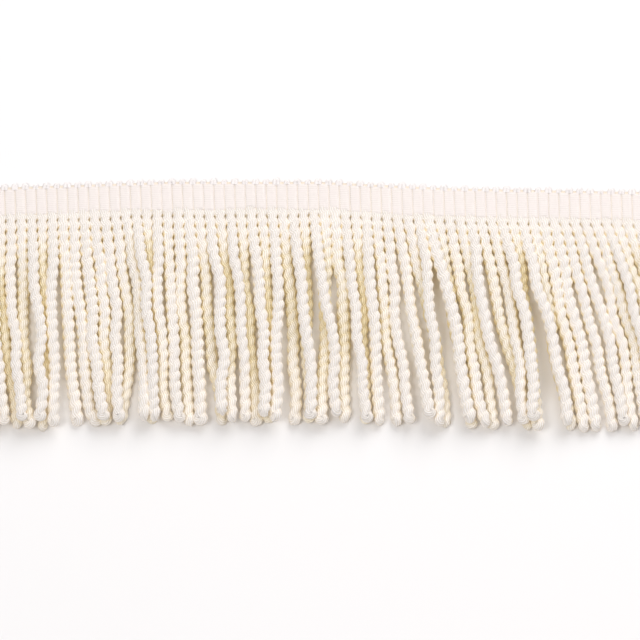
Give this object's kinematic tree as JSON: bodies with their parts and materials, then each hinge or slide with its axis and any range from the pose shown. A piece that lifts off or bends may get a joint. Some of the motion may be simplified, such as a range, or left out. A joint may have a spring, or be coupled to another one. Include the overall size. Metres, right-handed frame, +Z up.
{
  "type": "bullion fringe",
  "caption": "Cut length of ivory bullion fringe: a ribbed woven heading with a dense row of twisted two-ply cords, looped at their ends, lying flat.",
  "frame": {"origin": "middle of the fringe's outline, on the surface that it lies on", "axes": "+X along the heading, +Y from the looped ends of the cords to the heading, +Z up from the surface"},
  "size_m": [0.2252, 0.0818, 0.0092],
  "materials": {
    "heading_weave": "matt ribbed weave in ivory yarn",
    "bullion_yarn": "matt twisted ivory yarn"
  },
  "bodies": {
    "root": {"heading": "heading_weave", "cord_skirt": "bullion_yarn"}
  },
  "joints": []
}
